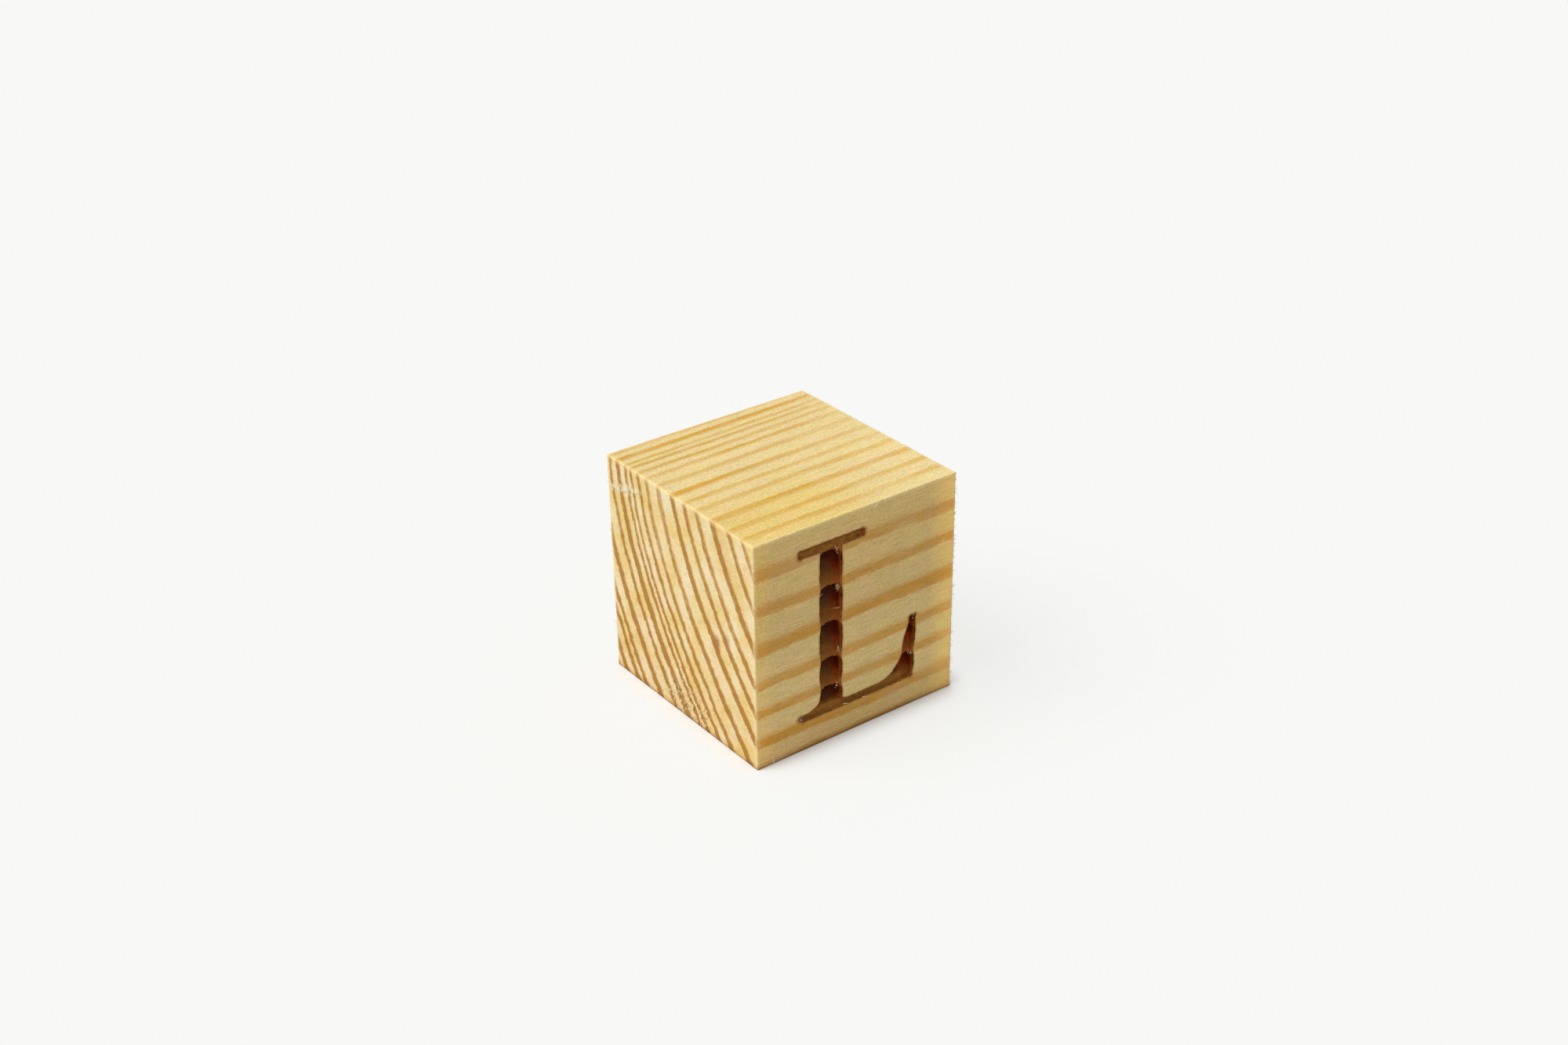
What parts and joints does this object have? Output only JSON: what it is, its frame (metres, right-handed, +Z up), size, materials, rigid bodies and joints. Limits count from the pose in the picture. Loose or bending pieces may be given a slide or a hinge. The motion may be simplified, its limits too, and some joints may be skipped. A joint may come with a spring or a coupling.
{
  "type": "alphabet block",
  "caption": "Sawn pine cube with a plain serif capital letter burnt into one side, a wooden toy or decoration block that rests and stacks on any flat side.",
  "frame": {"origin": "middle of the underside", "axes": "+Z up from the underside to the top, the letter side faces -Y, the grain runs along X"},
  "size_m": [0.04, 0.04, 0.04],
  "materials": {
    "pine": "bare sawn and lightly sanded",
    "charred_pine": "burnt, half glossy with resin",
    "raw_fibre": "raw torn wood"
  },
  "bodies": {
    "root": {"block": "pine", "letter_char": "charred_pine", "torn_fibres": "raw_fibre"}
  },
  "joints": []
}
